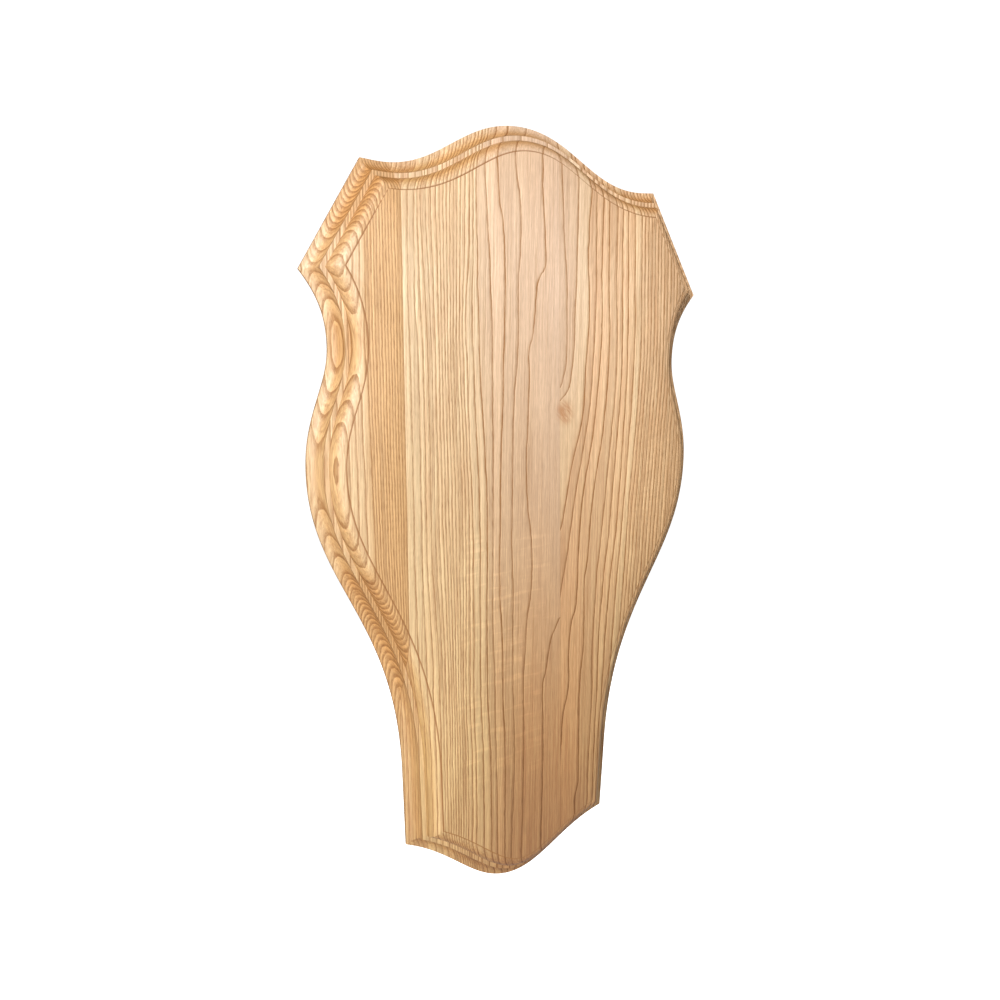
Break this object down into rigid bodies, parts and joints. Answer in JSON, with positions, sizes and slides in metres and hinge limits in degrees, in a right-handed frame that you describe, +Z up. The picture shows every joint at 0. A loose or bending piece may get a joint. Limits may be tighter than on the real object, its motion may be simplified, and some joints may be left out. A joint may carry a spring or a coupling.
{
  "type": "antler mounting plaque",
  "caption": "Shield-shaped solid ash board with a cove and ovolo moulded edge, made to hang on a wall and carry mounted antlers.",
  "frame": {"origin": "on the flat back, on the middle line, level with the belly of the outline 0.287 m above the lower tip", "axes": "+X to the viewer's right when the face is seen from the front, +Y out of the back into the wall, +Z up to the crown"},
  "size_m": [0.2874, 0.021, 0.5],
  "materials": {
    "ash_wood": "oiled, satin"
  },
  "bodies": {
    "root": {"plaque_board": "ash_wood"}
  },
  "joints": []
}
